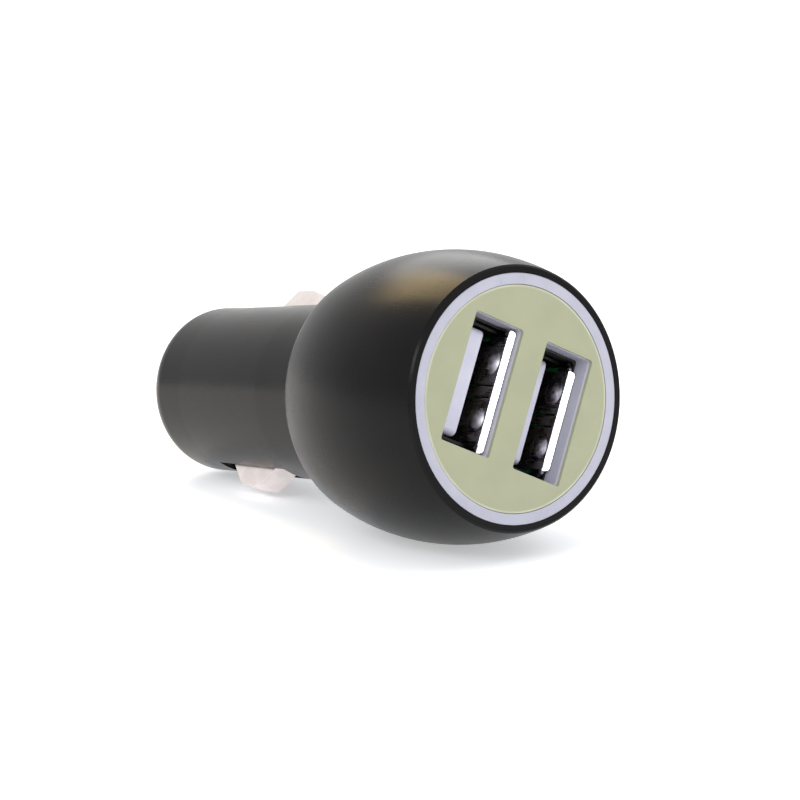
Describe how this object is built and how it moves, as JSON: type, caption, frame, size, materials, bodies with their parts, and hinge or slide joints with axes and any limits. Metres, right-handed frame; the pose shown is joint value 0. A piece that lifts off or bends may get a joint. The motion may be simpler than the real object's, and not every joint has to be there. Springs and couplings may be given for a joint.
{
  "type": "car usb charger plug",
  "caption": "Egg-headed plug for a car's 12 V accessory socket, with side-by-side USB A ports in a ringed face, sprung side contacts and a sprung tip.",
  "frame": {"origin": "centre of the face, on the plane of its rim, which is the bottom of the part as it stands on its face", "axes": "+Z along the plug's axis from the face to the tip, X across the two ports, Y along the ports and through both side contacts"},
  "size_m": [0.0326, 0.0326, 0.067],
  "materials": {
    "head_shell": "satin moulded black",
    "barrel_shell": "satin moulded black",
    "light_ring": "milky translucent white",
    "face_plate": "satin pale olive metallic",
    "face_carrier": "fine-grained black",
    "usb_shell_left": "nickel-plated drawn steel",
    "usb_core_left": "glass-filled pale plastic",
    "usb_pins_left": "gold-plated",
    "usb_shell_right": "nickel-plated drawn steel",
    "usb_core_right": "glass-filled pale plastic",
    "usb_pins_right": "gold-plated",
    "main_board": "green solder mask over glass laminate",
    "port_board": "green solder mask over glass laminate",
    "link_block": "black moulded strip",
    "link_pins": "gold-plated",
    "choke_core": "pressed grey ferrite",
    "choke_winding": "enamelled copper wire",
    "input_capacitor": "dark sleeve over an aluminium can",
    "output_capacitor": "bare aluminium can",
    "control_chip": "black epoxy with tinned legs",
    "port_chip": "black epoxy with tinned legs",
    "diode": "black epoxy with tinned ends",
    "chip_parts": "tan ceramic with tinned ends",
    "light_chips": "white body with a pale yellow lens",
    "contact_holder_a": "bright stamped brass",
    "contact_holder_b": "bright stamped brass",
    "side_contact_a": "nickel-plated spring strip",
    "side_contact_b": "nickel-plated spring strip",
    "spring_seat": "bright stamped brass",
    "tip_spring": "drawn spring wire",
    "tip_contact": "nickel-plated turned brass",
    "nose_cap": "nickel-plated turned brass"
  },
  "bodies": {
    "charger": {"head_shell": "head_shell", "barrel_shell": "barrel_shell", "light_ring": "light_ring", "face_plate": "face_plate", "face_carrier": "face_carrier", "usb_shell_left": "usb_shell_left", "usb_core_left": "usb_core_left", "usb_pins_left": "usb_pins_left", "usb_shell_right": "usb_shell_right", "usb_core_right": "usb_core_right", "usb_pins_right": "usb_pins_right", "main_board": "main_board", "port_board": "port_board", "link_block": "link_block", "link_pins": "link_pins", "choke_core": "choke_core", "choke_winding": "choke_winding", "input_capacitor": "input_capacitor", "output_capacitor": "output_capacitor", "control_chip": "control_chip", "port_chip": "port_chip", "diode": "diode", "chip_parts": "chip_parts", "light_chips": "light_chips", "contact_holder_a": "contact_holder_a", "contact_holder_b": "contact_holder_b", "spring_seat": "spring_seat", "tip_spring": "tip_spring", "nose_cap": "nose_cap"},
    "side_contact_a": {"side_contact_a": "side_contact_a"},
    "side_contact_b": {"side_contact_b": "side_contact_b"},
    "tip_contact": {"tip_contact": "tip_contact"}
  },
  "joints": [
    {"name": "side_contact_a_flex", "type": "hinge", "parent": "charger", "child": "side_contact_a", "pos_m": [0, -0.00725, 0.033], "axis": [-1, 0, 0], "range_deg": [0, 9.9], "stiffness_Nm_per_rad": 0.16},
    {"name": "side_contact_b_flex", "type": "hinge", "parent": "charger", "child": "side_contact_b", "pos_m": [0, 0.00725, 0.033], "axis": [1, 0, 0], "range_deg": [0, 9.9], "stiffness_Nm_per_rad": 0.16},
    {"name": "tip_press", "type": "slide", "parent": "charger", "child": "tip_contact", "axis": [0, 0, -1], "range_m": [0, 0.0026], "stiffness_N_per_m": 1500, "deforming": ["tip_spring"]}
  ]
}
